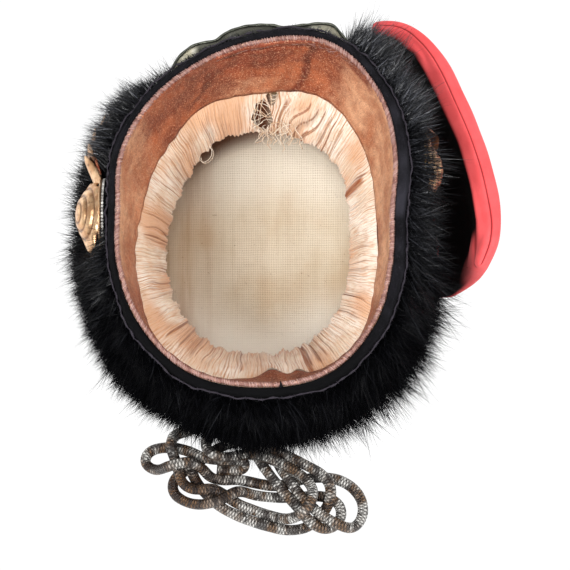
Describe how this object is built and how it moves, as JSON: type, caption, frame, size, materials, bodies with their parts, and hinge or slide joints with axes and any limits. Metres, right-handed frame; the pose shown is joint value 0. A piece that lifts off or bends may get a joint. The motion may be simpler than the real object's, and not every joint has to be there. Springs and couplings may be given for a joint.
{
  "type": "busby (hussar fur cap)",
  "caption": "Fur cap lying on its crown, open at the rim, with leather band, gathered silk lining, side bag, front scroll, chin scales and a loose cap line.",
  "frame": {"origin": "centre of the flat crown face, which lies on the floor", "axes": "+Z from the crown to the rim, +Y to the front of the cap, +X to the wearer's left"},
  "size_m": [0.2626, 0.2989, 0.155],
  "materials": {
    "crown_cloth": "matt felted wool",
    "bag": "matt felted wool",
    "body_lining": "matt plain weave",
    "fur": "long glossy hair",
    "rim_band": "matt cloth",
    "sweatband": "worn, stained, satin",
    "silk_lining": "gathered silk",
    "scroll_badge": "blackened, pale inside",
    "cockade": "black, silver and red rings",
    "boss": "gilt, worn",
    "chin_scales": "gilt, worn",
    "cap_line": "silver braid with dark flecks, tarnished"
  },
  "bodies": {
    "root": {"crown_cloth": "crown_cloth", "bag": "bag", "crown_lining": "body_lining", "body_lining": "body_lining", "fur": "fur", "rim_band": "rim_band", "sweatband": "sweatband", "silk_lining": "silk_lining", "scroll_badge": "scroll_badge", "cockade_right": "cockade", "cockade_left": "cockade", "boss_right": "boss", "boss_left": "boss", "chin_scales_right": "chin_scales", "chin_scales_left": "chin_scales", "cap_line_outer": "cap_line", "cap_line_inner": "cap_line", "cap_line_knot": "cap_line"}
  },
  "joints": []
}
